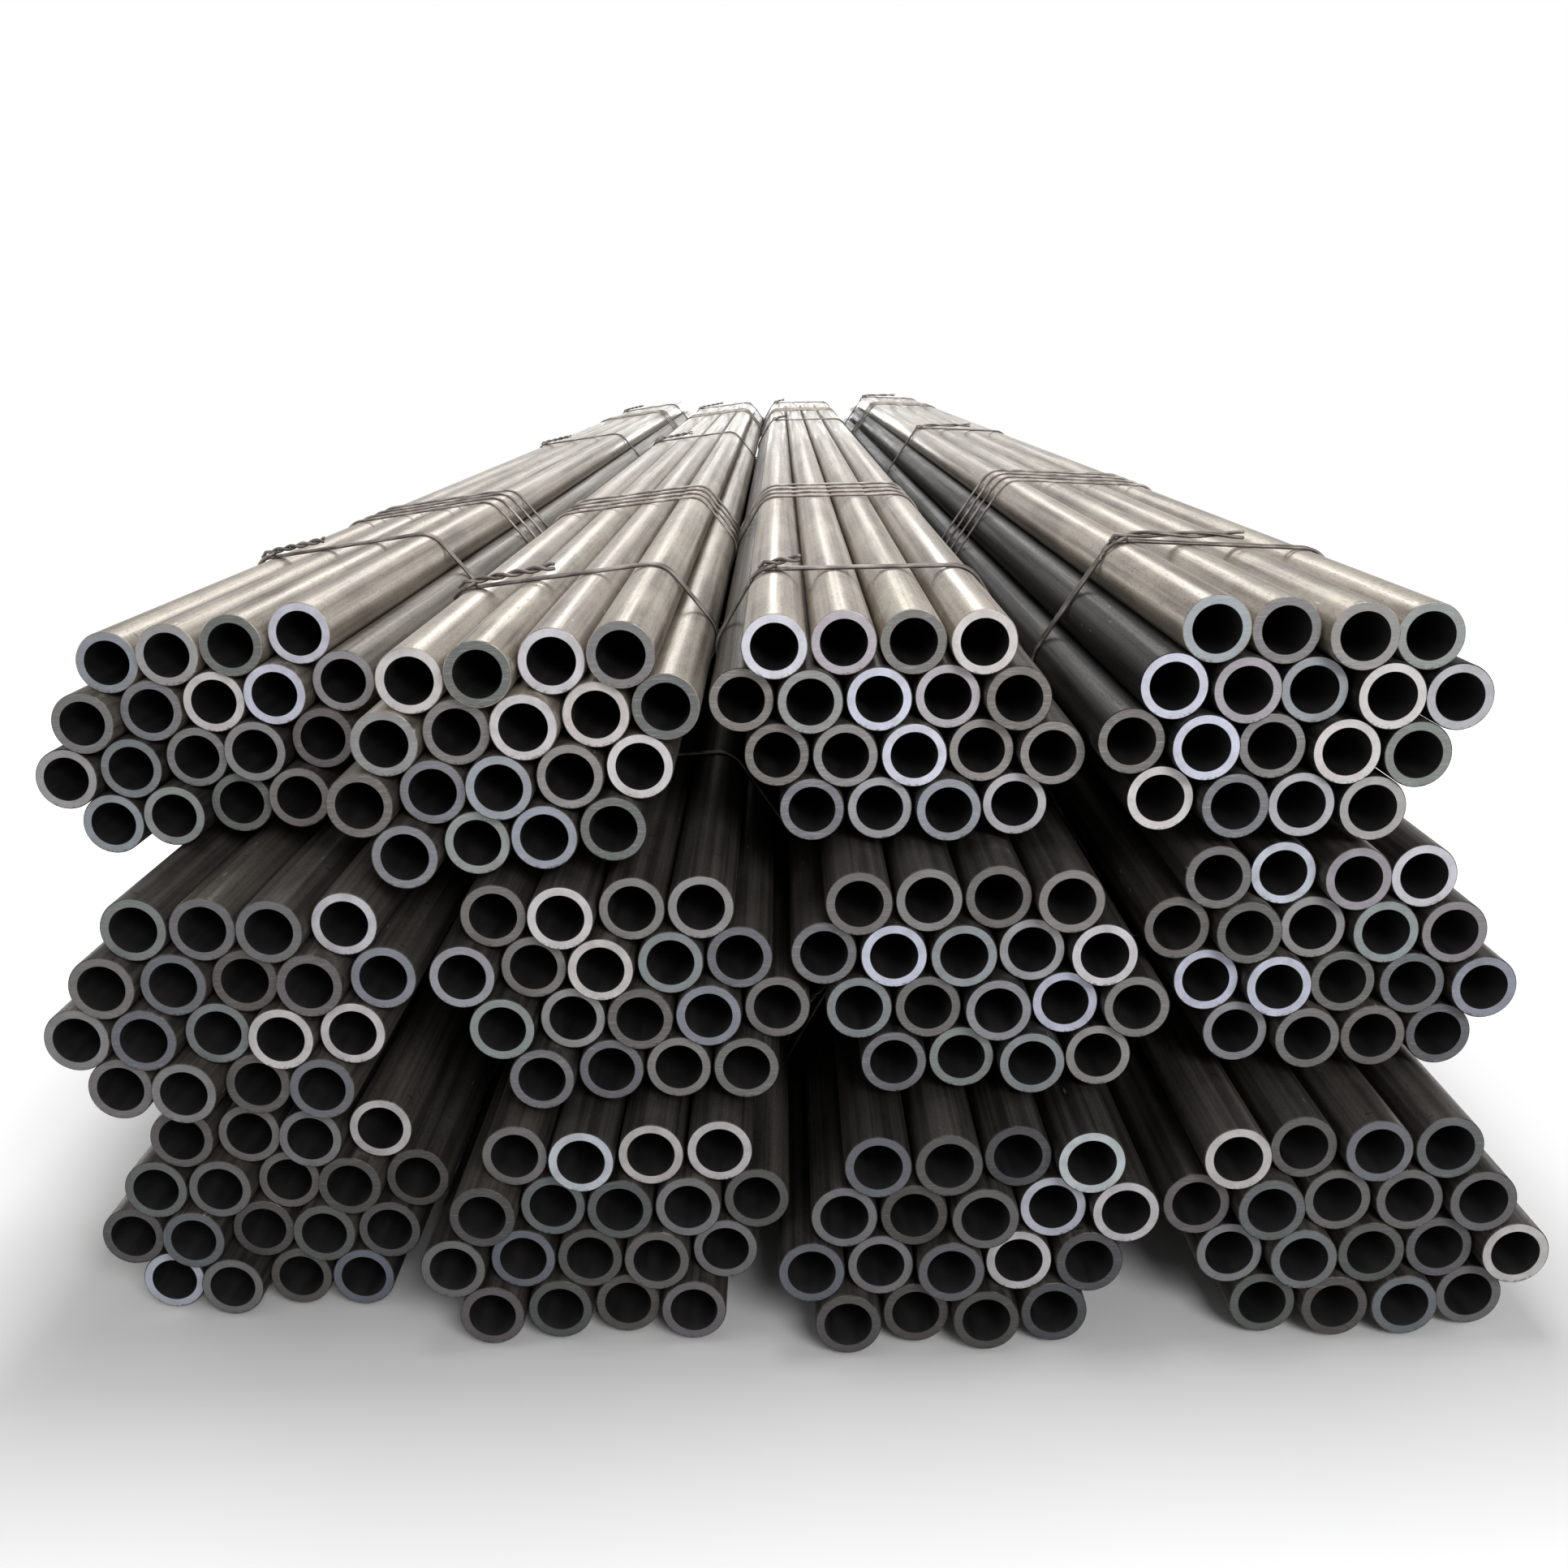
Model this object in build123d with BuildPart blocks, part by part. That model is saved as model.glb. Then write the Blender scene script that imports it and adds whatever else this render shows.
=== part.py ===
from build123d import *
import math
import os

# Stock of seamless steel pipe: twelve wired bundles of eighteen, four to a tier and
# three tiers high. X runs across the stack, Y along the pipes and Z up from the floor.
# The origin is on the floor in the middle of the stack.

# Pipe
pipe_od = 60.3
pipe_wall = 8.74
pipe_length = 6000.0
end_chamfer = 1.0

# Packing inside a bundle
row_gap = 2.5
nest_gap = 0.3

# Uneven front ends: how far they come forward or stand back, and how far the wave that
# sets them moves on from pipe to pipe and from bundle to bundle, in radians
end_stagger = 9.0
pipe_step = 2.4
bundle_step = 1.7

# Tie wire
wire_od = 4.0
wire_gap = 0.3
strand_pitch = 3.6
wrap_pitch = 72.0
wrap_turns = 4

# Twisted ends of a tie, and where on the top row's left pipe they leave it: free ends
# lie over the top tier, and down the shoulder where another tier lies above
twist_length = 60.0
twist_turns = 2.0
twist_lift = 1.8
over_angle = 118.0
shoulder_angle = 135.0

# Rear ties and the first wraps, from the middle of the stack, and how far those of
# neighbouring bundles stand apart
rear_tie_at = 2540.0
front_wrap_at = -1960.0
rear_wrap_at = 1640.0
tie_shift = 18.0

# Rows of a bundle from the top, and where each row starts, in pitches from the top row
row_counts = (4, 5, 5, 4)
row_starts = {
    "left": (0.0, -0.5, -1.0, -0.5),
    "right": (0.0, -0.5, 0.0, 0.5),
}

# Tiers from the floor up: where the first bundle stands against the lowest one, then
# each bundle's name, lean, room beside a wire to the bundle on its left, tilt in
# degrees, setback of the front ends, and the front and middle ties' places
low_tier = (
    0.0,
    ("low_1", "left", 0.0, 0.0, 105.0, 420.0, 3100.0),
    ("low_2", "left", 0.3, 0.0, 38.0, 380.0, 3200.0),
    ("low_3", "left", 3.1, 0.0, 3.0, 390.0, 3050.0),
    ("low_4", "right", 0.3, 0.0, 0.0, 460.0, 3150.0),
)
middle_tier = (
    -3.0,
    ("middle_1", "left", 0.0, -1.1, 71.0, 500.0, 3000.0),
    ("middle_2", "right", 7.9, 1.0, 78.0, 440.0, 3080.0),
    ("middle_3", "right", 0.3, -1.4, 71.0, 480.0, 2950.0),
    ("middle_4", "right", 2.1, -2.7, 91.0, 540.0, 3230.0),
)
top_tier = (
    -49.0,
    ("top_1", "left", 0.0, 6.4, 226.0, 560.0, 3050.0),
    ("top_2", "left", 9.9, 5.2, 96.0, 350.0, 3160.0),
    ("top_3", "right", 0.3, -1.1, 142.0, 270.0, 3900.0),
    ("top_4", "left", 0.3, -4.6, 87.0, 370.0, 2900.0),
)

tiers = (low_tier, middle_tier, top_tier)

pipe_radius = pipe_od / 2
bore_radius = pipe_radius - pipe_wall
pitch = pipe_od + row_gap
row_rise = math.sqrt((pipe_od + nest_gap) ** 2 - (pitch / 2) ** 2)
middle_column = (row_counts[0] - 1) / 2
middle_row = (len(row_counts) - 1) / 2
tie_reach = pipe_radius + wire_gap + wire_od / 2
wire_room = wire_od + 2 * wire_gap
wired_reach = pipe_od + wire_room

# Laying the bundles: the height each is let down from, how far to the right of its
# neighbour it starts, and how near it comes to what it meets
drop_height = 2000.0
push_start = 4 * pitch
lay_tolerance = 0.01

# Twice the least area between a corner of a bundle's outline and the corners beside it
corner_area = 60.0


def pipe_centres(lean, x, z, tilt):
    """Centres of a bundle's pipes across the stack, row by row from the top."""
    turn = math.radians(tilt)
    centres = []
    for row, count in enumerate(row_counts):
        for column in range(count):
            across = (row_starts[lean][row] + column - middle_column) * pitch
            up = (middle_row - row) * row_rise
            centres.append(
                (
                    x + across * math.cos(turn) - up * math.sin(turn),
                    z + across * math.sin(turn) + up * math.cos(turn),
                )
            )
    return centres


def outer_pipes(centres):
    """Corners of the convex outline round a bundle's pipe centres, anticlockwise."""

    def half(points):
        corners = []
        for point in points:
            while len(corners) > 1:
                (ax, az), (bx, bz) = corners[-2:]
                cross = (bx - ax) * (point[1] - az) - (bz - az) * (point[0] - ax)
                if cross > corner_area:
                    break
                corners.pop()
            corners.append(point)
        return corners[:-1]

    ordered = sorted(centres)
    return half(ordered) + half(ordered[::-1])


def distance_to_side(point, start, end):
    """Distance of a point from one side of an outline."""
    side = (end[0] - start[0], end[1] - start[1])
    reach = (point[0] - start[0], point[1] - start[1])
    along = (reach[0] * side[0] + reach[1] * side[1]) / (side[0] ** 2 + side[1] ** 2)
    along = min(max(along, 0.0), 1.0)
    return math.dist(point, (start[0] + along * side[0], start[1] + along * side[1]))


def wire_space(outline, other):
    """Room between two bundles, beyond what a tie wire takes up between them."""
    distances = []
    for points, sides in ((outline, other), (other, outline)):
        for point in points:
            for index, end in enumerate(sides):
                distances.append(distance_to_side(point, sides[index - 1], end))
    return min(distances) - wired_reach


def lay_down(lean, x, tilt, below):
    """Pipe centres of a bundle let down at x on the floor or the bundles below."""
    z = drop_height
    while True:
        centres = pipe_centres(lean, x, z, tilt)
        space = min(up for _, up in centres) - tie_reach - wire_od / 2
        for other in below:
            space = min(space, wire_space(outer_pipes(centres), outer_pipes(other)))
        if space < lay_tolerance:
            return centres
        z -= space


def lay_beside(lean, tilt, room, neighbour, below):
    """Pipe centres of a bundle laid down and pushed up to the one on its left."""
    x = max(across for across, _ in neighbour) + push_start
    while True:
        centres = lay_down(lean, x, tilt, below)
        space = wire_space(outer_pipes(centres), outer_pipes(neighbour)) - room
        if space < lay_tolerance:
            return centres
        x -= space / 2


def place_bundles():
    """Every bundle's name, pipe centres, front end, tie places and what lies above."""
    placed = []
    below = []
    for level, (start, *bundles) in enumerate(tiers):
        on_top = level == len(tiers) - 1
        laid = []
        for column, bundle in enumerate(bundles):
            name, lean, room, tilt, setback, front_tie, middle_tie = bundle
            if laid:
                centres = lay_beside(lean, tilt, room, laid[-1], below)
            else:
                centres = lay_down(lean, start, tilt, below)
            laid.append(centres)
            shift = tie_shift * (column + 2 * level)
            placed.append((name, centres, setback, front_tie, middle_tie, shift, on_top))
        below = laid

    across = [x for _, centres, *_ in placed for x, _ in centres]
    middle = (min(across) + max(across)) / 2
    setbacks = [
        bundle[2] + uneven_end(number, index)
        for number, bundle in enumerate(placed)
        for index in range(sum(row_counts))
    ]
    front = -(pipe_length + min(setbacks) + max(setbacks)) / 2
    return [
        (name, [(x - middle, z) for x, z in centres], front + setback, *ties)
        for name, centres, setback, *ties in placed
    ]


def uneven_end(number, index):
    """How far one pipe of a bundle stands back from the others."""
    return end_stagger * math.sin(pipe_step * index + bundle_step * number)


def make_pipe():
    """One length of pipe with its outer edges broken, front end at y = 0."""
    with BuildPart() as pipe:
        with BuildSketch(Plane.XZ):
            Circle(pipe_radius)
            Circle(bore_radius, mode=Mode.SUBTRACT)
        extrude(amount=-pipe_length)
        rims = pipe.edges().filter_by(GeomType.CIRCLE)
        chamfer(rims.group_by(SortBy.RADIUS)[-1], end_chamfer)
    return pipe.part


def make_pipes(pipe, centres, front, number):
    """The eighteen pipes of one bundle, their ends a little uneven."""
    places = []
    for index, (x, z) in enumerate(centres):
        places.append((x, front + uneven_end(number, index), z))
    with BuildPart() as pipes:
        with Locations(*places):
            add(pipe)
    return pipes.part


def loop_path(centres, y):
    """Centre line of a wire drawn tight round a bundle."""
    with BuildLine(Plane.XZ.offset(-y)) as path:
        Polyline(*outer_pipes(centres), close=True)
        offset(amount=tie_reach, kind=Kind.ARC, mode=Mode.REPLACE)
    return path.wire()


def section_plane(path):
    """Plane square to a path at its start, its x axis along the pipes."""
    return Plane(origin=path @ 0, x_dir=(0, 1, 0), z_dir=path % 0)


def strand_pair(plane):
    """Section of two wire strands side by side along the pipes."""
    with BuildSketch(plane) as section:
        with GridLocations(strand_pitch, 0, 2, 1):
            Circle(wire_od / 2)
    return section.sketch


def make_twist(centre, y, over):
    """The wire's two ends, twisted together where they leave a pipe at a tangent."""
    angle = math.radians(over_angle if over else shoulder_angle)
    outward = Vector(math.cos(angle), 0, math.sin(angle))
    along = Vector(math.sin(angle), 0, -math.cos(angle)) * (1 if over else -1)
    root = Vector(centre[0], y, centre[1]) + outward * (tie_reach + twist_lift)
    section = strand_pair(Plane(origin=root, x_dir=(0, 1, 0), z_dir=along))
    return Solid.extrude_linear_with_rotation(
        section.face(), root, along * twist_length, 360 * twist_turns
    )


def make_tie(centres, y, over):
    """Double strand of wire round a bundle with its twisted ends."""
    path = loop_path(centres, y)
    with BuildPart() as tie:
        add(strand_pair(section_plane(path)))
        sweep(path=path)
        add(make_twist(centres[0], y, over))
    return tie.part


def make_wrap(centres, y):
    """Single strand of wire round a bundle."""
    path = loop_path(centres, y)
    with BuildPart() as wrap:
        with BuildSketch(section_plane(path)):
            Circle(wire_od / 2)
        sweep(path=path)
    return wrap.part


def export(parts, name):
    """Writes the pieces of one node to its STEP file."""
    with BuildPart() as node:
        for piece in parts:
            add(piece)
    node.part.label = name
    export_step(node.part, f"parts/{name}.step")


os.makedirs("parts", exist_ok=True)
pipe = make_pipe()
for number, bundle in enumerate(place_bundles()):
    name, centres, front, front_tie, middle_tie, shift, on_top = bundle
    pipes = make_pipes(pipe, centres, front, number)
    pipes.label = f"{name}_pipes"
    export_step(pipes, f"parts/{name}_pipes.step")

    tie_places = (front + front_tie, front + middle_tie, rear_tie_at + shift)
    export([make_tie(centres, y, on_top) for y in tie_places], f"{name}_ties")

    wraps = []
    for start in (front_wrap_at, rear_wrap_at):
        for turn in range(wrap_turns):
            wraps.append(make_wrap(centres, start + shift + turn * wrap_pitch))
    export(wraps, f"{name}_wraps")
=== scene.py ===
import math
import random

import bpy
import numpy as np
from mathutils import Matrix, Vector


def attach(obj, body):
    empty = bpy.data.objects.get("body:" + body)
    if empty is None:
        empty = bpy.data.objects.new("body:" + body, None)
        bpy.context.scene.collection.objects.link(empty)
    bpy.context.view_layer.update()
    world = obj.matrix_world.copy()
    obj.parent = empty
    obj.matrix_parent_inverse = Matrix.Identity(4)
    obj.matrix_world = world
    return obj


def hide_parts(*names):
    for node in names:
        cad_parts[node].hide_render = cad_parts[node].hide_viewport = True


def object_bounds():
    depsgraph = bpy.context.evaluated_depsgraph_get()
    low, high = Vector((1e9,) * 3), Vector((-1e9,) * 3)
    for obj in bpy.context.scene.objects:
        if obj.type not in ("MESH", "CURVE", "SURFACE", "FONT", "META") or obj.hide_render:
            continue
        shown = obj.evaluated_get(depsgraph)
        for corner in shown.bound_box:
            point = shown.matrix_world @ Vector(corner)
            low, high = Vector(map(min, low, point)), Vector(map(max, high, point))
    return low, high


# A stack of steel pipe in twelve wired bundles. Pipes run along Y with the front ends
# towards -Y, Z is up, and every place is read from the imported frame, in metres.

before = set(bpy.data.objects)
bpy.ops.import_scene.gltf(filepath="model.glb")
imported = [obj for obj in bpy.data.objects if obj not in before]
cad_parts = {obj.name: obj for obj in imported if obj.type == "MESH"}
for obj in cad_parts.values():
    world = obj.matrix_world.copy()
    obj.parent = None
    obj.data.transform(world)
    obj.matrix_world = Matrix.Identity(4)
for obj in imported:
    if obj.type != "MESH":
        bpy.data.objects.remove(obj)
cad_low, cad_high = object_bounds()
rng = random.Random(17)

# Camera: place, turn and lens of the photograph, for a square frame
camera_place = (0.0400, -4.3773, 0.8932)
camera_down = math.radians(15.35)
camera_turn = math.radians(-0.46)
camera_roll = math.radians(-2.39)
focal_pixels = 1953.0
photo_pixels = 1932.0
sensor_width = 36.0

# Pipe mesh
pipe_sides = 64
edge_break = 0.0010
edge_bulge = 0.35 * edge_break
bore_break = 0.0004

# Material slots of a pipe, and which slot each side of its section has, from the front
# outer edge through the bore and back over the outer wall
skin_slot, cut_slot, bore_slot = 0, 1, 2
section_slots = (
    *(skin_slot, skin_slot, cut_slot, cut_slot, bore_slot, bore_slot),
    *(bore_slot, cut_slot, cut_slot, skin_slot, skin_slot, skin_slot),
)

# Wire mesh
wire_radius = 0.0020
wire_gap = 0.0003
wire_sides = 10
path_step = 0.006
arc_step = math.radians(9.0)

# Strands of a tie: half the distance between them, and how far they wander apart
strand_side = 0.0021
strand_wander = 0.0045
wander_waves = 4

# Least corner that counts in a bundle's outline, and least distance between two ties
straight_area = 1e-5
tie_apart = 0.2

# Knot of a top tie: where on the first pipe it stands, and its eye
knot_angle = math.radians(118.0)
eye_length = 0.016
eye_half_width = 0.007
eye_steps = 8
knot_lift = 0.0042

# Root of a tail: distance past the knot, height in knot lifts and place in half spacings
tail_root = (
    (0.028, 0.0, 1.0),
    (0.010, 0.0, 0.8),
    (0.002, 0.4, 0.8),
    (0.000, 1.2, 0.8),
    (0.006, 2.1, 0.8),
)

# Twisted part of the tails: where it starts, how it rises, leans and opens towards its
# tip, and each bundle's length and turns
tail_from = 0.012
tail_steps = 40
tail_height = 1.6 * knot_lift
tail_rise = 0.006
tail_lean = 0.012
tip_from = 0.8
tip_opening = 2.5
tails = {
    "top_1": (0.075, 2.2),
    "top_2": (0.095, 2.4),
    "top_3": (0.030, 0.9),
    "top_4": (0.130, 1.3),
}

# Painted shade on the pipe walls: how much darker each bundle is drawn, from left to right,
# and how much darker each row of some is drawn, from the top
tier_painted_shades = {
    "low": (0.88, 0.92, 0.93, 0.90),
    "middle": (0.84, 0.93, 0.96, 0.90),
    "top": (0.15, 0.00, 0.00, 0.13),
}
row_painted_shades = {
    "top_1": (0.0, 0.45, 0.75, 0.80),
    "top_2": (0.0, 0.30, 0.85, 0.90),
    "top_3": (0.0, 0.90, 0.90, 0.90),
    "top_4": (0.0, 0.90, 0.90, 0.90),
}

# Studio: light all round, and the floor's glow to the camera where it begins and ends
# turning white
world_light = 0.22
floor_glow = 0.62
floor_shadow_reach = 0.6
floor_white_from = 1.7

# Painted light and shade on the sawn ends: how much each bundle's ends are lightened or darkened,
# from left to right
tier_painted_lights = {
    "low": (0.43, 0.45, 0.44, 0.55),
    "middle": (0.66, 0.87, 0.92, 0.90),
    "top": (0.94, 1.14, 1.45, 1.27),
}

# Rows of a bundle, and its brightest ends, its pipes counted row by row from the top left
bundle_rows = (4, 5, 5, 4)
bright_ends = {
    "low_1": (3, 14),
    "low_2": (1, 2, 3),
    "low_3": (3, 7, 8, 12),
    "low_4": (0, 13),
    "middle_1": (3, 12, 13),
    "middle_2": (1, 6),
    "middle_3": (5, 8, 12),
    "middle_4": (1, 3, 9, 10),
    "top_1": (3, 6, 7),
    "top_2": (0, 2, 6, 7, 13),
    "top_3": (0, 3, 6, 11),
    "top_4": (4, 7, 10, 12, 14),
}
dull_most = 0.78
bright_least = 0.93

# Lightness that the brightest ends are drawn towards in every bundle in place of their bundle's
# painted light and shade, and how far
bright_light = 1.05
bright_pull = 0.6

# Most that a pipe's painted shade differs from its bundle's
shade_spread = 0.06


# Reading the frame


def loose_labels(mesh):
    """For each vertex, the lowest vertex number of the loose piece that it is in."""
    edges = np.empty(len(mesh.edges) * 2, dtype=np.int64)
    mesh.edges.foreach_get("vertices", edges)
    first, second = edges[0::2], edges[1::2]
    labels = np.arange(len(mesh.vertices))
    while True:
        lowest = np.minimum(labels[first], labels[second])
        spread = labels.copy()
        np.minimum.at(spread, first, lowest)
        np.minimum.at(spread, second, lowest)
        spread = spread[spread]
        if np.array_equal(spread, labels):
            return labels
        labels = spread


def circle_through(points):
    """Centre and radius of the circle that fits points in the XZ plane."""
    x, z = points[:, 0], points[:, 2]
    unknowns = np.column_stack((2 * x, 2 * z, np.ones(len(x))))
    (cx, cz, rest), *_ = np.linalg.lstsq(unknowns, x**2 + z**2, rcond=None)
    return cx, cz, math.sqrt(rest + cx**2 + cz**2)


def read_pipes(node):
    """Outer walls and bores of a node's pipes: x, z, radius, front and rear."""
    mesh = node.data
    points = np.empty(len(mesh.vertices) * 3)
    mesh.vertices.foreach_get("co", points)
    points = points.reshape(-1, 3)
    labels = loose_labels(mesh)
    half_length = (cad_high.y - cad_low.y) / 2
    walls = []
    for label in np.unique(labels):
        piece = points[labels == label]
        front, rear = piece[:, 1].min(), piece[:, 1].max()
        if rear - front > half_length:
            walls.append((*circle_through(piece), front, rear))
    widest = max(wall[2] for wall in walls)
    narrowest = min(wall[2] for wall in walls)
    middle = (widest + narrowest) / 2
    outer = [wall for wall in walls if wall[2] > middle]
    return in_rows(outer), narrowest


def in_rows(pipes):
    """A bundle's pipes row by row from the top, each row from the left."""
    falling = sorted(pipes, key=lambda pipe: -pipe[1])
    ordered = []
    for count in bundle_rows:
        row, falling = falling[:count], falling[count:]
        ordered += sorted(row)
    return ordered


# Meshes


def pipe_profile(outer, bore, length):
    """Points of a pipe's wall in section, as radius and place along the pipe."""
    front = [
        (outer, edge_break),
        (outer - edge_bulge, edge_bulge),
        (outer - edge_break, 0.0),
        ((outer + bore) / 2, 0.0),
        (bore + bore_break, 0.0),
        (bore, bore_break),
    ]
    return front + [(radius, length - y) for radius, y in front[::-1]]


def make_pipes(name, pipes, bore, tones, shades, light):
    """One mesh of a bundle's pipes, with each pipe's tone, painted shade and painted light and
    each point's place on it.
    """
    angles = np.linspace(0, 2 * math.pi, pipe_sides, endpoint=False)
    vertices, faces, slots = [], [], []
    tone, painted_shade, radial, low_side = [], [], [], []
    for (x, z, outer, front, rear), pipe_tone, pipe_shade in zip(pipes, tones, shades):
        profile = pipe_profile(outer, bore, rear - front + 2 * edge_break)
        start = len(vertices)
        for radius, y in profile:
            for angle in angles:
                vertices.append(
                    (
                        x + radius * math.cos(angle),
                        front - edge_break + y,
                        z + radius * math.sin(angle),
                    )
                )
                tone.append(pipe_tone)
                painted_shade.append(pipe_shade)
                radial.append((radius - bore) / (outer - bore))
                low_side.append(-math.sin(angle))
        for ring, slot in enumerate(section_slots):
            following = (ring + 1) % len(profile)
            for side in range(pipe_sides):
                beside = (side + 1) % pipe_sides
                faces.append(
                    (
                        start + ring * pipe_sides + side,
                        start + following * pipe_sides + side,
                        start + following * pipe_sides + beside,
                        start + ring * pipe_sides + beside,
                    )
                )
                slots.append(slot)
    mesh = bpy.data.meshes.new(name)
    mesh.from_pydata(vertices, [], faces)
    mesh.polygons.foreach_set("material_index", slots)
    mesh.polygons.foreach_set("use_smooth", [slot != cut_slot for slot in slots])
    values = {
        "tone": tone,
        "painted_shade": painted_shade,
        "light": [light] * len(tone),
        "radial": radial,
        "low_side": low_side,
    }
    for key, column in values.items():
        mesh.attributes.new(key, "FLOAT", "POINT").data.foreach_set("value", column)
    mesh.update()
    piece = bpy.data.objects.new(name, mesh)
    bpy.context.scene.collection.objects.link(piece)
    return piece


# Materials


class Nodes:
    """Short calls for building one material's node tree."""

    def __init__(self, name):
        self.material = bpy.data.materials.new(name)
        self.material.use_nodes = True
        self.tree = self.material.node_tree
        self.shader = self.tree.nodes["Principled BSDF"]

    def add(self, kind, inputs=None, **settings):
        """A new node with its inputs linked or set."""
        node = self.tree.nodes.new(kind)
        for key, value in settings.items():
            setattr(node, key, value)
        for key, value in (inputs or {}).items():
            self.feed(node.inputs[key], value)
        return node

    def feed(self, socket, value):
        """Links another node's output to a socket, or sets the socket's own value."""
        if isinstance(value, bpy.types.NodeSocket):
            self.tree.links.new(value, socket)
        else:
            socket.default_value = value

    def attribute(self, name):
        """A value kept in the mesh."""
        return self.add("ShaderNodeAttribute", attribute_name=name).outputs["Fac"]

    def place(self, scale, shift=None):
        """Object coordinates, stretched by a scale for each axis and shifted."""
        coordinates = self.add("ShaderNodeTexCoord").outputs["Object"]
        if shift is not None:
            moved = self.add("ShaderNodeVectorMath", {0: coordinates}, operation="ADD")
            self.tree.links.new(shift, moved.inputs[1])
            coordinates = moved.outputs["Vector"]
        stretched = self.add("ShaderNodeMapping", {"Vector": coordinates})
        stretched.inputs["Scale"].default_value = scale
        return stretched.outputs["Vector"]

    def noise(self, scale, shift=None, detail=4.0, roughness=0.6):
        """Noise with its grains stretched by a scale for each axis."""
        inputs = {
            "Vector": self.place(scale, shift),
            "Scale": 1.0,
            "Detail": detail,
            "Roughness": roughness,
        }
        return self.add("ShaderNodeTexNoise", inputs).outputs["Fac"]

    def between(self, first, second, share):
        """A value between two others, at a share of the way."""
        node = self.add("ShaderNodeMix", data_type="FLOAT")
        self.feed(node.inputs[0], share)
        self.feed(node.inputs[2], first)
        self.feed(node.inputs[3], second)
        return node.outputs[0]

    def marks(self, scale, shift, size, rarity):
        """Scattered small marks: 1 inside one and 0 elsewhere."""
        vector = self.place(scale, shift)
        cells = self.add("ShaderNodeTexVoronoi", {"Vector": vector, "Scale": 1.0})
        inside = self.spread(cells.outputs["Distance"], size, 0.6 * size)
        chance = self.add("ShaderNodeSeparateColor", {"Color": cells.outputs["Color"]})
        chosen = self.math("GREATER_THAN", chance.outputs["Red"], rarity)
        return self.math("MULTIPLY", inside, chosen)

    def spread(self, value, low, high, to_low=0.0, to_high=1.0):
        """A value's range from low to high taken to another range, and kept in it."""
        inputs = {
            "Value": value,
            "From Min": low,
            "From Max": high,
            "To Min": to_low,
            "To Max": to_high,
        }
        return self.add("ShaderNodeMapRange", inputs).outputs["Result"]

    def math(self, operation, first, second=0.0):
        """A sum, product or other operation on two values."""
        node = self.add("ShaderNodeMath", {0: first, 1: second}, operation=operation)
        return node.outputs["Value"]

    def vector(self, operation, first, second=None):
        """An operation on one or two vectors."""
        inputs = {0: first} if second is None else {0: first, 1: second}
        node = self.add("ShaderNodeVectorMath", inputs, operation=operation)
        return node.outputs["Vector"]

    def scale(self, vector, size):
        """A vector or colour made larger or smaller."""
        inputs = {0: vector, "Scale": size}
        node = self.add("ShaderNodeVectorMath", inputs, operation="SCALE")
        return node.outputs["Vector"]

    def mix(self, factor, first, second, blend="MIX"):
        """A colour laid over another by a factor."""
        node = self.add("ShaderNodeMix", data_type="RGBA", blend_type=blend)
        self.feed(node.inputs["Factor"], factor)
        self.feed(node.inputs["A"], first)
        self.feed(node.inputs["B"], second)
        return node.outputs["Result"]

    def ramp(self, value, stops):
        """A colour from stops of position and colour."""
        node = self.add("ShaderNodeValToRGB", {"Fac": value})
        elements = node.color_ramp.elements
        while len(elements) < len(stops):
            elements.new(0.5)
        for element, (position, colour) in zip(elements, stops):
            element.position = position
            element.color = colour
        return node.outputs["Color"]

    def bump(self, height, strength, distance):
        """Surface direction of a relief."""
        inputs = {"Height": height, "Strength": strength, "Distance": distance}
        return self.add("ShaderNodeBump", inputs).outputs["Normal"]

    def surface(self, **values):
        """Feeds the shader's sockets, named with underscores."""
        for name, value in values.items():
            self.feed(self.shader.inputs[name.replace("_", " ")], value)


def grey(red, green=None, blue=None):
    """A colour from its look on screen, 0 to 255, as linear values."""
    green = red if green is None else green
    blue = red if blue is None else blue
    linear = []
    for value in (red, green, blue):
        value /= 255
        linear.append(value / 12.92 if value < 0.04045 else ((value + 0.055) / 1.055) ** 2.4)
    return (*linear, 1.0)


def tone_shift(nodes):
    """A vector that moves a pattern to a place of its own on each pipe."""
    tone = nodes.attribute("tone")
    combined = nodes.add("ShaderNodeCombineXYZ")
    nodes.feed(combined.inputs["X"], nodes.math("MULTIPLY", tone, 7.3))
    nodes.feed(combined.inputs["Y"], nodes.math("MULTIPLY", tone, 31.7))
    nodes.feed(combined.inputs["Z"], nodes.math("MULTIPLY", tone, 13.9))
    return combined.outputs["Vector"]


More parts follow.
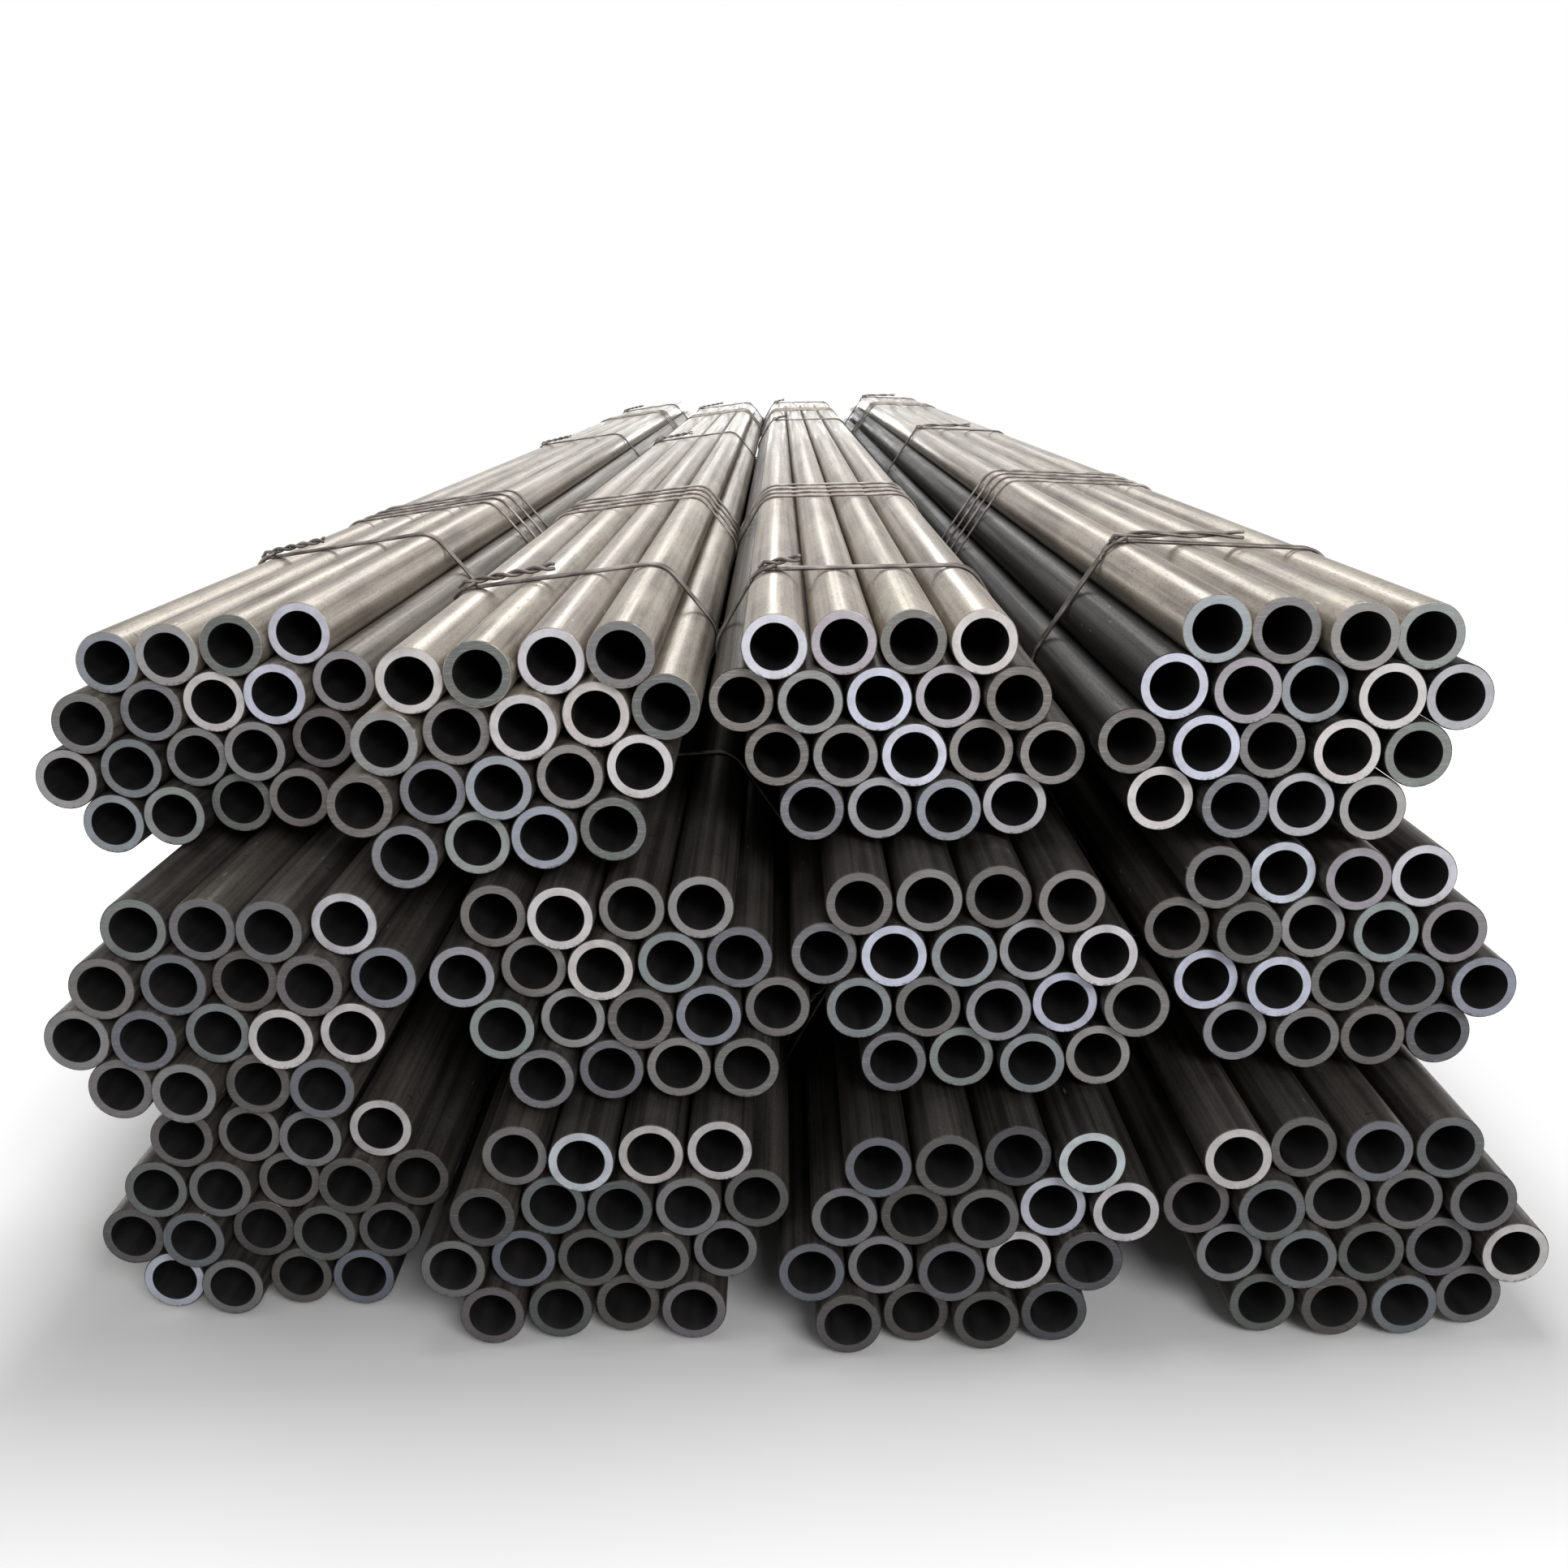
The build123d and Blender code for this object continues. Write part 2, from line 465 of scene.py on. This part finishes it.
def skin_material():
    """Rolled pipe wall: mill scale with streaks along the pipe and small nicks; each pipe's
    painted shade darkens it, fades its streaks and flecks and makes it rougher and less glossy.
    """
    nodes = Nodes("pipe_skin")
    shift = tone_shift(nodes)
    tone = nodes.attribute("tone")
    painted_shade = nodes.attribute("painted_shade")

    def by_shade(unshaded_pipe, shaded_pipe):
        """A value between that of a pipe with no painted shade and that of one in full painted
        shade.
        """
        return nodes.spread(painted_shade, 0.0, 1.0, unshaded_pipe, shaded_pipe)

    streaks = nodes.noise((110.0, 1.1, 110.0), shift)
    patches = nodes.noise((16.0, 4.0, 16.0), shift, roughness=0.7)
    grains = nodes.noise((520.0, 150.0, 520.0), shift, detail=3.0, roughness=0.65)
    nicks = nodes.marks((30.0, 85.0, 30.0), shift, 0.14, 0.72)
    flecks = nodes.marks((75.0, 14.0, 75.0), shift, 0.10, 0.6)

    unshaded_colour = nodes.ramp(
        patches,
        [
            (0.30, grey(114, 104, 93)),
            (0.47, grey(148, 139, 125)),
            (0.60, grey(176, 167, 152)),
            (0.75, grey(156, 142, 124)),
        ],
    )
    # Colour of a pipe in full painted shade
    dark = nodes.ramp(
        patches,
        [(0.3, grey(19, 19, 20)), (0.55, grey(36, 35, 36)), (0.75, grey(32, 30, 29))],
    )
    reddened = nodes.spread(tone, 0.0, 1.0, 0.0, 0.3)
    colour = nodes.mix(reddened, unshaded_colour, grey(158, 145, 140))
    # Painted shade: each pipe's colour drawn towards the shaded colour
    colour = nodes.mix(painted_shade, colour, dark)

    # Lighter streaks and bright flecks, both fading on pipes with more painted shade
    light_streaks = nodes.math("MULTIPLY", nodes.spread(streaks, 0.42, 0.68), by_shade(0.5, 0.08))
    dull_streaks = nodes.spread(streaks, 0.45, 0.30, 0.0, 0.45)
    specks = nodes.spread(grains, 0.54, 0.70, 0.0, 0.5)
    dents = nodes.math("MULTIPLY", nicks, 0.75)
    shining = nodes.math("MULTIPLY", flecks, by_shade(0.7, 0.12))
    colour = nodes.mix(light_streaks, colour, grey(205, 198, 188))
    colour = nodes.mix(dull_streaks, colour, grey(136, 130, 126), "MULTIPLY")
    colour = nodes.mix(specks, colour, grey(116, 108, 103), "MULTIPLY")
    colour = nodes.mix(dents, colour, grey(100, 92, 90), "MULTIPLY")
    colour = nodes.mix(shining, colour, grey(225, 220, 212))

    rough = nodes.spread(patches, 0.3, 0.75, 0.26, 0.40)
    rough = nodes.math("ADD", rough, nodes.spread(streaks, 0.3, 0.7, 0.07, -0.07))
    rough = nodes.math("ADD", rough, nodes.spread(grains, 0.5, 0.7, 0.0, 0.12))
    # Pipes with more painted shade are made rougher and, below, less glossy
    rough = nodes.math("ADD", rough, by_shade(0.0, 0.12))

    relief = nodes.math("MULTIPLY", nodes.math("ADD", streaks, grains), 0.5)
    relief = nodes.math("SUBTRACT", relief, nicks)
    nodes.surface(
        Base_Color=colour,
        Metallic=by_shade(0.38, 0.4),
        Roughness=rough,
        Specular_IOR_Level=by_shade(0.5, 0.12),
        Normal=nodes.bump(relief, 0.4, 0.0004),
    )
    return nodes.material


def cut_material():
    """Sawn pipe end: bright steel, lighter or darker by the pipe's tone and its bundle's painted
    light and shade, and a little tinted by the pipe.
    """
    nodes = Nodes("pipe_cut_end")
    shift = tone_shift(nodes)
    tone = nodes.attribute("tone")
    radial = nodes.attribute("radial")
    low_side = nodes.attribute("low_side")
    scratches = nodes.noise((60.0, 60.0, 900.0), shift, detail=3.0)
    clouds = nodes.noise((55.0, 55.0, 55.0), shift, detail=5.0)
    burrs = nodes.noise((300.0, 300.0, 300.0), shift, detail=2.0, roughness=0.5)

    steel = nodes.ramp(
        tone,
        [
            (0.0, grey(104, 102, 101)),
            (0.35, grey(138, 138, 139)),
            (0.65, grey(170, 171, 174)),
            (0.80, grey(186, 188, 194)),
            (0.92, grey(218, 217, 221)),
            (1.0, grey(242, 241, 245)),
        ],
    )
    tint = nodes.ramp(
        nodes.math("FRACT", nodes.math("MULTIPLY", tone, 9.7)),
        [
            (0.0, grey(255, 249, 242)),
            (0.3, grey(252, 250, 250)),
            (0.55, grey(232, 237, 255)),
            (0.75, grey(238, 252, 244)),
            (1.0, grey(252, 238, 246)),
        ],
    )
    outer_rim = nodes.spread(radial, 0.86, 1.0, 0.0, 0.4)
    inner_rim = nodes.spread(radial, 0.12, 0.0, 0.0, 0.4)
    foot = nodes.math(
        "MULTIPLY", nodes.spread(low_side, 0.55, 0.95), nodes.spread(radial, 0.6, 0.95)
    )
    spots = nodes.math("MULTIPLY", nodes.spread(burrs, 0.54, 0.6), foot)
    colour = nodes.mix(1.0, steel, tint, "MULTIPLY")
    colour = nodes.mix(nodes.spread(clouds, 0.38, 0.7, 0.0, 0.35), colour, grey(128, 121, 116))
    colour = nodes.mix(nodes.spread(scratches, 0.5, 0.7, 0.0, 0.25), colour, grey(206, 204, 204))
    colour = nodes.mix(nodes.math("ADD", outer_rim, inner_rim), colour, grey(104, 97, 93))
    colour = nodes.mix(nodes.math("MULTIPLY", spots, 0.9), colour, grey(38, 30, 28))

    # The bundle's painted light and shade, drawn towards a set lightness on the brightest ends
    pull = nodes.math("MULTIPLY", nodes.spread(tone, dull_most, bright_least), bright_pull)
    light = nodes.between(nodes.attribute("light"), bright_light, pull)
    nodes.surface(
        Base_Color=nodes.scale(colour, light),
        Metallic=0.25,
        Roughness=nodes.spread(clouds, 0.3, 0.7, 0.45, 0.62),
        Normal=nodes.bump(scratches, 0.3, 0.0003),
    )
    return nodes.material


def bore_material():
    """Inside of a pipe: dark scale with a rusty bloom, drawn nearly black to paint the shade deep
    in the bore.
    """
    nodes = Nodes("pipe_bore")
    patches = nodes.noise((60.0, 8.0, 60.0), tone_shift(nodes))
    nodes.surface(
        Base_Color=nodes.ramp(patches, [(0.35, grey(14, 13, 15)), (0.7, grey(30, 27, 26))]),
        Metallic=0.4,
        Roughness=nodes.spread(patches, 0.3, 0.7, 0.5, 0.7),
        Normal=nodes.bump(patches, 0.3, 0.0005),
    )
    return nodes.material


def wire_material(name, dark, middle, light):
    """Annealed wire, lighter and darker in random patches."""
    nodes = Nodes(name)
    patches = nodes.noise((45.0, 45.0, 45.0), detail=3.0, roughness=0.5)
    nodes.surface(
        Base_Color=nodes.ramp(patches, [(0.32, dark), (0.5, middle), (0.68, light)]),
        Metallic=0.75,
        Roughness=nodes.spread(patches, 0.3, 0.7, 0.34, 0.5),
        Normal=nodes.bump(patches, 0.2, 0.0003),
    )
    return nodes.material


def backdrop_rays(tree):
    """1 for a ray that shows the backdrop: straight, mirrored or through glass."""
    paths = tree.nodes.new("ShaderNodeLightPath")
    seen = paths.outputs["Is Camera Ray"]
    for ray in ("Is Glossy Ray", "Is Transmission Ray"):
        either = tree.nodes.new("ShaderNodeMath")
        either.operation = "MAXIMUM"
        tree.links.new(seen, either.inputs[0])
        tree.links.new(paths.outputs[ray], either.inputs[1])
        seen = either.outputs["Value"]
    return seen


def floor_material():
    """Plain pale floor that keeps the stack's shadow and is white farther off."""
    nodes = Nodes("floor_white")
    nodes.shader.inputs["Roughness"].default_value = 0.9
    nodes.shader.inputs["Specular IOR Level"].default_value = 0.1
    seen = backdrop_rays(nodes.tree)
    nodes.feed(nodes.shader.inputs["Base Color"], nodes.mix(seen, grey(120), grey(250)))
    nodes.shader.inputs["Emission Color"].default_value = grey(255)
    coordinates = nodes.add("ShaderNodeTexCoord").outputs["Object"]
    outside = nodes.vector("ABSOLUTE", coordinates)
    outside = nodes.vector("SUBTRACT", outside, (cad_high.x, cad_high.y, 0.0))
    outside = nodes.vector("MAXIMUM", outside, (0.0, 0.0, 0.0))
    distance = nodes.add("ShaderNodeVectorMath", {0: outside}, operation="LENGTH").outputs["Value"]
    glow_share = nodes.spread(distance, 0.0, floor_shadow_reach, 0.0, floor_glow)
    nodes.feed(nodes.shader.inputs["Emission Strength"], nodes.math("MULTIPLY", seen, glow_share))
    far = nodes.spread(distance, floor_shadow_reach, floor_white_from)
    eased = nodes.math("MULTIPLY", far, far)
    glow = nodes.add("ShaderNodeEmission", {"Strength": seen})
    mixed = nodes.add("ShaderNodeMixShader", {0: eased})
    nodes.tree.links.new(nodes.shader.outputs["BSDF"], mixed.inputs[1])
    nodes.tree.links.new(glow.outputs["Emission"], mixed.inputs[2])
    surface = nodes.tree.nodes["Material Output"].inputs["Surface"]
    nodes.tree.links.new(mixed.outputs["Shader"], surface)
    return nodes.material


# Pieces


def of_bundle(values, bundle):
    """A bundle's own value among those listed by tier, from left to right."""
    tier, place = bundle.split("_")
    return values[tier][int(place) - 1]


def painted_pipe_shades(bundle):
    """Painted shade of each pipe, more in the lower rows of some bundles."""
    shades = []
    for row, count in enumerate(bundle_rows):
        painted_shade = of_bundle(tier_painted_shades, bundle)
        if bundle in row_painted_shades:
            painted_shade += row_painted_shades[bundle][row]
        for _ in range(count):
            pipe_shade = painted_shade + rng.uniform(-shade_spread, shade_spread)
            shades.append(min(max(pipe_shade, 0.0), 1.0))
    return shades


def pipe_tones(bundle):
    """A number for each pipe from 0 to 1, which is high where its sawn end is bright."""
    tones = []
    for index in range(sum(bundle_rows)):
        if index in bright_ends[bundle]:
            tones.append(rng.uniform(bright_least, 1.0))
        else:
            tones.append(rng.uniform(0.0, dull_most))
    return tones


def dress_pipes(bundle, materials):
    """A fine mesh of the bundle's pipes in place of its node; returns its pipes."""
    name = bundle + "_pipes"
    pipes, bore = read_pipes(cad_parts[name])
    tones = pipe_tones(bundle)
    shades = painted_pipe_shades(bundle)
    light = of_bundle(tier_painted_lights, bundle)
    piece = make_pipes(bundle + "_steel", pipes, bore, tones, shades, light)
    for material in materials:
        piece.data.materials.append(material)
    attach(piece, "root")
    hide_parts(name)
    return pipes


def dress_wires(name, material):
    """The wire's finish on a node of ties or wraps."""
    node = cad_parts[name]
    node.data.materials.clear()
    node.data.materials.append(material)
    for polygon in node.data.polygons:
        polygon.use_smooth = True


def outline_corners(centres):
    """Corners of the convex outline round points, clockwise."""

    def half(points):
        """Corners met on the way along one side of the points."""
        corners = []
        for point in points:
            while len(corners) > 1:
                (ax, az), (bx, bz) = corners[-2:]
                cross = (bx - ax) * (point[1] - az) - (bz - az) * (point[0] - ax)
                if cross < -straight_area:
                    break
                corners.pop()
            corners.append(point)
        return corners[:-1]

    ordered = sorted(centres)
    return half(ordered) + half(ordered[::-1])


class TightPath:
    """Line of a wire drawn tight round a bundle, clockwise from its knot."""

    def __init__(self, pipes):
        reach = pipes[0][2] + wire_gap + wire_radius
        corners = outline_corners([(pipe[0], pipe[1]) for pipe in pipes])
        self.points, self.normals = [], []
        for index, corner in enumerate(corners):
            before = corners[index - 1]
            after = corners[(index + 1) % len(corners)]
            first = self.outward(before, corner)
            last = self.outward(corner, after)
            turn = (first - last) % (2 * math.pi)
            steps = max(2, round(turn / arc_step))
            for step in range(steps + 1):
                angle = first - turn * step / steps
                normal = np.array((math.cos(angle), math.sin(angle)))
                self.points.append(np.array(corner) + reach * normal)
                self.normals.append(normal)
        self.points.append(self.points[0])
        self.normals.append(self.normals[0])
        self.points = np.array(self.points)
        self.normals = np.array(self.normals)
        gaps = np.linalg.norm(np.diff(self.points, axis=0), axis=1)
        self.reached = np.concatenate(([0.0], np.cumsum(gaps)))
        self.length = self.reached[-1]
        angles = np.arctan2(self.normals[:, 1], self.normals[:, 0])
        self.start = self.reached[np.argmin(np.abs(angles - knot_angle))]

    @staticmethod
    def outward(start, end):
        """Angle that faces out of a side of a clockwise outline."""
        return math.atan2(end[0] - start[0], -(end[1] - start[1]))

    def at(self, along, lift, y):
        """Point at a distance along the path from its knot, lifted off the pipes."""
        place = (self.start + along) % self.length
        point = [np.interp(place, self.reached, self.points[:, axis]) for axis in (0, 1)]
        normal = [np.interp(place, self.reached, self.normals[:, axis]) for axis in (0, 1)]
        size = math.hypot(*normal)
        return (
            point[0] + lift * normal[0] / size,
            y,
            point[1] + lift * normal[1] / size,
        )


def make_tube(mesh_data, line, radius):
    """Adds a round strand along a line of points to lists of vertices and faces."""
    vertices, faces = mesh_data
    line = [Vector(point) for point in line]
    ahead = (line[1] - line[0]).normalized()
    across = ahead.orthogonal().normalized()
    start = len(vertices)
    for index, point in enumerate(line):
        following = line[min(index + 1, len(line) - 1)] - line[max(index - 1, 0)]
        following.normalize()
        across.rotate(ahead.rotation_difference(following))
        ahead = following
        up = ahead.cross(across)
        for side in range(wire_sides):
            angle = 2 * math.pi * side / wire_sides
            vertices.append(point + radius * (across * math.cos(angle) + up * math.sin(angle)))
    for ring in range(len(line) - 1):
        for side in range(wire_sides):
            beside = (side + 1) % wire_sides
            faces.append(
                (
                    start + ring * wire_sides + side,
                    start + ring * wire_sides + beside,
                    start + (ring + 1) * wire_sides + beside,
                    start + (ring + 1) * wire_sides + side,
                )
            )
    faces.append(tuple(start + side for side in range(wire_sides))[::-1])
    faces.append(tuple(start + (len(line) - 1) * wire_sides + side for side in range(wire_sides)))


def wander(length):
    """Slow random drift along a strand, as a function of the place on it."""
    waves = []
    for _ in range(wander_waves):
        waves.append((rng.uniform(0.0, 2 * math.pi), rng.uniform(0.5, 1.0)))

    def drift(along):
        """Drift at a place on the strand, from -1 to 1."""
        total = 0.0
        for number, (phase, size) in enumerate(waves):
            total += size * math.sin(4 * math.pi * (number + 1) * along / length + phase)
        return total / len(waves)

    return drift


def strand_line(path, y, side):
    """One strand of a tie, from its knot round the bundle and through half the eye."""
    drift = wander(path.length)
    line = []
    for step in range(int(path.length / path_step)):
        along = eye_length + step * path_step
        if along > path.length - eye_length:
            break
        apart = strand_side + strand_wander * (1 + drift(along)) / 2
        line.append(path.at(along, 0.0, y + side * apart))
    for step in range(eye_steps + 1):
        turn = math.pi / 2 * step / eye_steps
        along = path.length - eye_length + 2 * eye_length * math.sin(turn)
        apart = eye_half_width * math.sin(2 * turn) + strand_side * math.cos(turn)
        line.append(path.at(along, knot_lift * math.sin(turn), y + side * apart))
    return line


def tail_line(path, y, side, length, turns):
    """One of the two ends of a tie, twisted round the other."""
    line = []
    for along, lift, apart in tail_root:
        line.append(path.at(along, lift * knot_lift, y + side * apart * strand_side))
    for step in range(tail_steps):
        share = step / tail_steps
        turn = 2 * math.pi * turns * share
        radius = strand_side * (1 + tip_opening * max(0.0, share - tip_from))
        lift = tail_height + tail_rise * share + side * radius * math.sin(turn)
        across = side * radius * math.cos(turn) - tail_lean * share
        line.append(path.at(tail_from + length * share, lift, y + across))
    return line


def tie_places(node):
    """Middle of each tie of a node along the pipes."""
    ys = np.array(sorted(vertex.co.y for vertex in node.data.vertices))
    breaks = np.nonzero(np.diff(ys) > tie_apart)[0] + 1
    return [(part[0] + part[-1]) / 2 for part in np.split(ys, breaks)]


def dress_ties(bundle, pipes, material):
    """Round double strands with twisted ends in place of a top bundle's ties."""
    name = bundle + "_ties"
    path = TightPath(pipes)
    vertices, faces = [], []
    for y in tie_places(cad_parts[name]):
        for side in (-1, 1):
            make_tube((vertices, faces), strand_line(path, y, side), wire_radius)
            make_tube((vertices, faces), tail_line(path, y, side, *tails[bundle]), wire_radius)
    mesh = bpy.data.meshes.new(bundle + "_strands")
    mesh.from_pydata(vertices, [], faces)
    mesh.polygons.foreach_set("use_smooth", [True] * len(faces))
    mesh.materials.append(material)
    mesh.update()
    piece = bpy.data.objects.new(bundle + "_strands", mesh)
    bpy.context.scene.collection.objects.link(piece)
    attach(piece, "root")
    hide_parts(name)


def dress_bundles():
    """Every bundle's pipes and wires."""
    pipe_materials = [skin_material(), cut_material(), bore_material()]
    tie_wire = wire_material(
        "tie_wire", grey(84, 77, 74), grey(112, 105, 101), grey(146, 139, 134)
    )
    wrap_wire = wire_material(
        "wrap_wire", grey(104, 97, 92), grey(140, 133, 127), grey(182, 176, 168)
    )
    names = [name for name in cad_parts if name.endswith("_pipes")]
    for bundle in sorted(name.removesuffix("_pipes") for name in names):
        pipes = dress_pipes(bundle, pipe_materials)
        dress_wires(bundle + "_wraps", wrap_wire)
        if bundle in tails:
            dress_ties(bundle, pipes, tie_wire)
        else:
            dress_wires(bundle + "_ties", tie_wire)


# Studio


def make_floor():
    """Floor that reaches far past the stack."""
    reach = 60.0
    mesh = bpy.data.meshes.new("floor")
    corners = [(-reach, -reach, 0), (reach, -reach, 0), (reach, reach, 0), (-reach, reach, 0)]
    mesh.from_pydata(corners, [], [(0, 1, 2, 3)])
    floor = bpy.data.objects.new("floor", mesh)
    bpy.context.scene.collection.objects.link(floor)
    mesh.materials.append(floor_material())


def make_world():
    """White to the camera and in reflections, and a faint grey light all round."""
    world = bpy.data.worlds.new("studio")
    world.use_nodes = True
    bpy.context.scene.world = world
    tree = world.node_tree
    background = tree.nodes["Background"]
    background.inputs["Color"].default_value = (1.0, 1.0, 1.0, 1.0)
    strength = tree.nodes.new("ShaderNodeMapRange")
    strength.inputs["To Min"].default_value = world_light
    strength.inputs["To Max"].default_value = 1.0
    tree.links.new(backdrop_rays(tree), strength.inputs["Value"])
    tree.links.new(strength.outputs["Result"], background.inputs["Strength"])


def add_light(name, place, target, size, power):
    """Large soft lamp aimed at a point."""
    data = bpy.data.lights.new(name, "AREA")
    data.shape = "RECTANGLE"
    data.size, data.size_y = size
    data.energy = power
    lamp = bpy.data.objects.new(name, data)
    bpy.context.scene.collection.objects.link(lamp)
    lamp.location = place
    aim = Vector(target) - Vector(place)
    lamp.rotation_mode = "QUATERNION"
    lamp.rotation_quaternion = aim.to_track_quat("-Z", "Y")
    lamp.visible_camera = False


def make_lights():
    """Softboxes over the stack, on all four sides of it and high behind it."""
    add_light("overhead", (0.0, 0.8, 4.5), (0.0, 0.8, 0.5), (1.3, 8.0), 157.0)
    add_light("rear", (0.0, 10.0, 4.2), (0.0, 0.0, 0.6), (2.0, 2.0), 20.0)
    add_light("rear_ends", (-0.5, 6.5, 0.5), (-0.5, 3.0, 0.5), (2.6, 0.8), 60.0)
    add_light("left_side", (-5.0, 0.0, 1.2), (0.0, 0.0, 0.3), (7.0, 1.5), 92.0)
    add_light("right_side", (5.0, 0.0, 1.2), (0.0, 0.0, 0.3), (7.0, 1.5), 92.0)
    add_light("front", (1.9, -7.6, 3.2), (0.1, -3.0, 0.45), (2.4, 1.8), 165.0)


def make_camera():
    """Camera of the photograph."""
    data = bpy.data.cameras.new("camera")
    data.sensor_width = sensor_width
    data.lens = focal_pixels / photo_pixels * sensor_width
    data.clip_start, data.clip_end = 0.05, 200.0
    camera = bpy.data.objects.new("camera", data)
    bpy.context.scene.collection.objects.link(camera)
    bpy.context.scene.camera = camera
    level = Vector((math.cos(camera_turn), -math.sin(camera_turn), 0.0))
    ahead = Vector(
        (
            math.sin(camera_turn) * math.cos(camera_down),
            math.cos(camera_turn) * math.cos(camera_down),
            -math.sin(camera_down),
        )
    )
    upright = level.cross(ahead)
    right = level * math.cos(camera_roll) + upright * math.sin(camera_roll)
    up = upright * math.cos(camera_roll) - level * math.sin(camera_roll)
    turn = Matrix((right, up, -ahead)).transposed()
    camera.matrix_world = Matrix.Translation(camera_place) @ turn.to_4x4()


bpy.context.scene.view_settings.view_transform = "Standard"
dress_bundles()
make_floor()
make_world()
make_lights()
make_camera()

bpy.context.view_layer.update()
